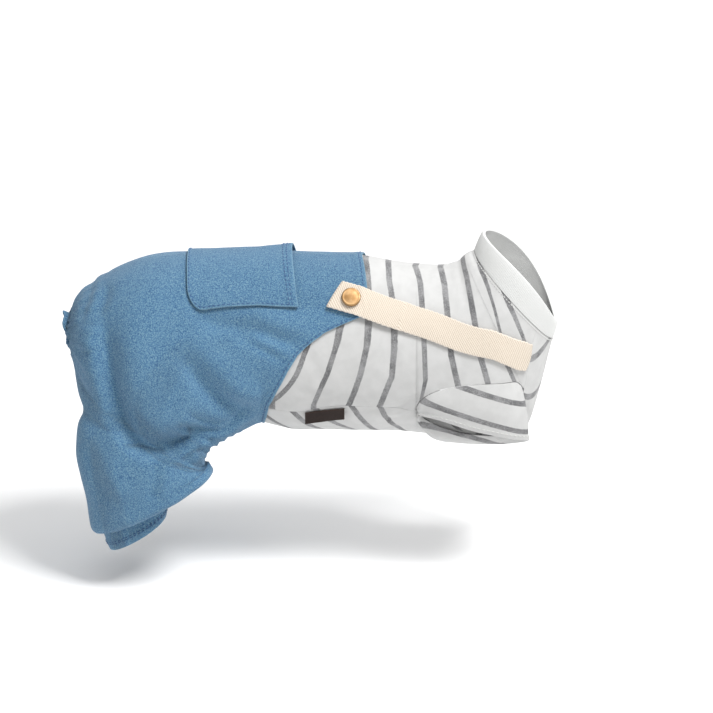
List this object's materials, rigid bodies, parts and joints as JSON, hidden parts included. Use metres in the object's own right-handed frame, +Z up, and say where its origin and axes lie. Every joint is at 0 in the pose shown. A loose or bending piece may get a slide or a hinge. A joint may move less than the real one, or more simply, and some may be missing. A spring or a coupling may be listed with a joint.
{
  "type": "dog jumpsuit",
  "caption": "Small dog's jumpsuit: striped jersey shirt with short sleeves joined to denim overall trousers with a back pocket and snapped webbing straps.",
  "frame": {"origin": "on the inner face of the shirt's back at the withers, in the garment's mirror plane, where it hangs on the dog", "axes": "+X along the back towards the neck, +Y to the dog's left, +Z up from the belly to the back"},
  "size_m": [0.3535, 0.1326, 0.2266],
  "materials": {
    "striped_jersey": "off-white cotton jersey with grey heather stripes",
    "rib_knit": "off-white rib knit",
    "denim": "light blue chambray denim",
    "webbing": "cream herringbone cotton webbing",
    "snap_metal": "brushed copper-tone brass snap",
    "label_cloth": "dark brown woven tag, bare"
  },
  "bodies": {
    "root": {"shirt_back_panel": "striped_jersey", "belly_panel": "striped_jersey", "collar": "rib_knit", "sleeve_right": "striped_jersey", "sleeve_left": "striped_jersey", "trouser_right": "denim", "trouser_left": "denim", "tail_casing": "denim", "bib_pocket": "denim", "strap_right": "webbing", "strap_left": "webbing", "snap_right": "snap_metal", "snap_left": "snap_metal", "label": "label_cloth"}
  },
  "joints": []
}
